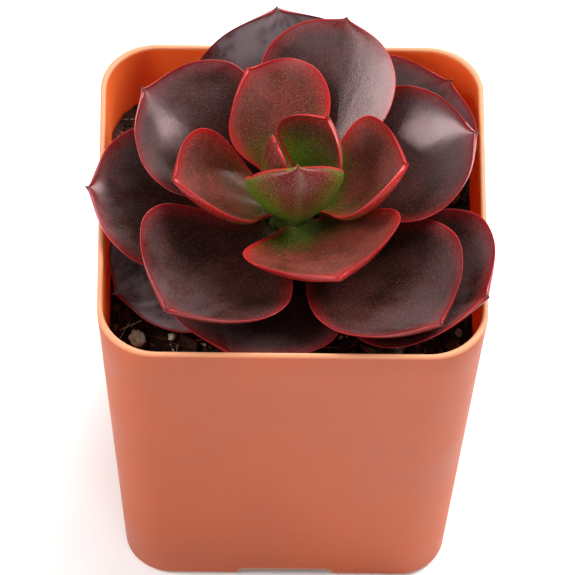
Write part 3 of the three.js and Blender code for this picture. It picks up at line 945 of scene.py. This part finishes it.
# %% Scatter the fibres
def scatter_fibres(count, seed):
    dice = random.Random(seed)
    bm = bmesh.new()
    shade = bm.verts.layers.float.new("shade")
    placed = 0
    while placed < count:
        spot = loose_spot(dice, 0.5 * MM)
        if spot is None:
            continue
        length = dice.uniform(1.2, 4.2) * MM
        width = dice.uniform(0.06, 0.16) * MM
        heading = Matrix.Rotation(dice.uniform(0, 6.3), 4, "Z")
        lying = heading @ Matrix.Rotation(math.radians(90 + dice.uniform(-16, 16)), 4, "Y")
        ends = [spot + (heading @ Vector((s * length / 2, 0, 0))) for s in (-1, 1)]
        if any(leaf_tree.find_nearest(p)[3] < 0.5 * MM
               or (p.x, p.y) != into_corner(p.x, p.y, mix_half - 0.3 * MM) for p in ends):
            continue
        lying = Matrix.Translation(spot + Vector((0, 0, 0.45 * MM))) @ lying
        made = bmesh.ops.create_cone(bm, cap_ends=True, segments=4, radius1=width,
                                     radius2=width * 0.4, depth=length, matrix=lying)["verts"]
        tone = 0.93 if dice.random() < 0.12 else dice.uniform(0.55, 0.8)
        for v in made:
            v[shade] = tone
        placed += 1
    return bm


fibres = new_piece("mix_fibres", scatter_fibres(420, 11))
print("fibres:", len(fibres.data.polygons), "faces")

# %% Make the peat material
peat, tree, shader = new_material("peat", srgb(40, 26, 20), 0.92, Specular_IOR_Level=0.3)
marks = use_group(tree, clouds_and_grain, Place=object_place(tree), Cloud_Scale=420, Grain_Scale=2600)
tone = maths(tree, "ADD", attribute(tree, "shade"), maths(tree, "MULTIPLY", marks["Cloud"], 0.12))
colour = blend(tree, remap(tree, tone, 0.1, 0.6), srgb(20, 12, 9), srgb(80, 48, 31))
colour = blend(tree, remap(tree, tone, 0.6, 0.85), colour, srgb(150, 92, 58))
colour = blend(tree, remap(tree, tone, 0.9, 0.98), colour, srgb(214, 196, 166))
colour = blend(tree, maths(tree, "MULTIPLY", marks["Grain"], 0.35), colour, srgb(30, 18, 13))
feed(tree, colour, shader["Base Color"])
feed(tree, maths(tree, "ADD", 0.84, maths(tree, "MULTIPLY", marks["Cloud"], 0.12)), shader["Roughness"])
bump(tree, marks["Height"], 0.35 * MM, shader)
for piece in (soil, crumbs, fibres):
    piece.data.materials.clear()
    piece.data.materials.append(peat)
print(peat.name, "is on three pieces")

# %% [markdown]
# ## Perlite and bark
# Two kinds of larger grain lie on the mix: white, foamy perlite and brown chips of bark. Each one
# starts from its measured lump, is divided once more and roughened, the bark mostly across its
# layers.

# %% Shape the grains
def rough_grain(name, depth, layers):
    bm = bmesh.new()
    bm.from_mesh(nodes[name].data)
    bmesh.ops.remove_doubles(bm, verts=bm.verts, dist=0.002 * MM)
    bmesh.ops.subdivide_edges(bm, edges=bm.edges, cuts=3, use_grid_fill=True)
    low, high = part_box(name)
    middle = (low + high) / 2
    for v in bm.verts:
        out = v.co - middle
        bite = noise.noise(v.co / (0.55 * MM)) * depth + abs(noise.noise(v.co / (1.1 * MM))) * depth
        if layers:
            bite += (0.5 + 0.5 * math.sin(out.z / (0.11 * MM))) * depth
        v.co = middle + out * (1 - max(0, bite))
    for face in bm.faces:
        face.smooth = False
    return new_piece(name + "_lump", bm, [name])


grain_names = sorted(name for name in nodes if "grain" in name or "chip" in name)
lumps = {name: rough_grain(name, 0.3, "bark" in name) for name in grain_names}
print({name: len(o.data.polygons) for name, o in lumps.items()})

# %% Make the grain materials
def grain_material(name, dark, light, roughness, depth):
    material, tree, shader = new_material(name, light, roughness)
    marks = use_group(tree, clouds_and_grain, Place=object_place(tree), Cloud_Scale=900, Grain_Scale=4200)
    colour = blend(tree, marks["Cloud"], dark, light)
    colour = blend(tree, maths(tree, "MULTIPLY", marks["Grain"], 0.3), colour, dark)
    feed(tree, colour, shader["Base Color"])
    bump(tree, marks["Height"], depth, shader)
    return material


foam = grain_material("perlite_foam", srgb(176, 162, 128), srgb(240, 236, 218), 0.85, 0.12 * MM)
bark = grain_material("bark_layers", srgb(64, 42, 28), srgb(138, 104, 74), 0.8, 0.15 * MM)
for name, lump in lumps.items():
    lump.data.materials.clear()
    lump.data.materials.append(bark if "bark" in name else foam)
print(len(lumps), "grains finished")

# %% [markdown]
# ## Stem
# Only a little of the stem shows, deep between the leaf bases, where it is pale green and smooth.
# Its measured shape is a turned cone of sixteen sides, so a copy is merged and rounded.

# %% Round the stem
bm = bmesh.new()
bm.from_mesh(nodes["stem"].data)
bmesh.ops.remove_doubles(bm, verts=bm.verts, dist=0.002 * MM)
bmesh.ops.join_triangles(bm, faces=bm.faces, angle_face_threshold=0.7, angle_shape_threshold=1.2)
for face in bm.faces:
    face.smooth = True
stem = new_piece("stem_flesh", bm, ["stem"])
rounding = stem.modifiers.new("rounding", "SUBSURF")
rounding.levels = rounding.render_levels = 2
finished_mesh(stem)

stem_material, tree, shader = new_material("stem_skin", srgb(96, 118, 48), 0.5)
marks = use_group(tree, clouds_and_grain, Place=object_place(tree), Cloud_Scale=300, Grain_Scale=2400)
colour = blend(tree, marks["Cloud"], srgb(86, 108, 42), srgb(118, 136, 62))
colour = blend(tree, maths(tree, "MULTIPLY", marks["Grain"], 0.2), colour, srgb(92, 74, 44))
feed(tree, colour, shader["Base Color"])
bump(tree, marks["Height"], 0.12 * MM, shader)
stem.data.materials.clear()
stem.data.materials.append(stem_material)
print("the stem has", len(stem.data.polygons), "faces")
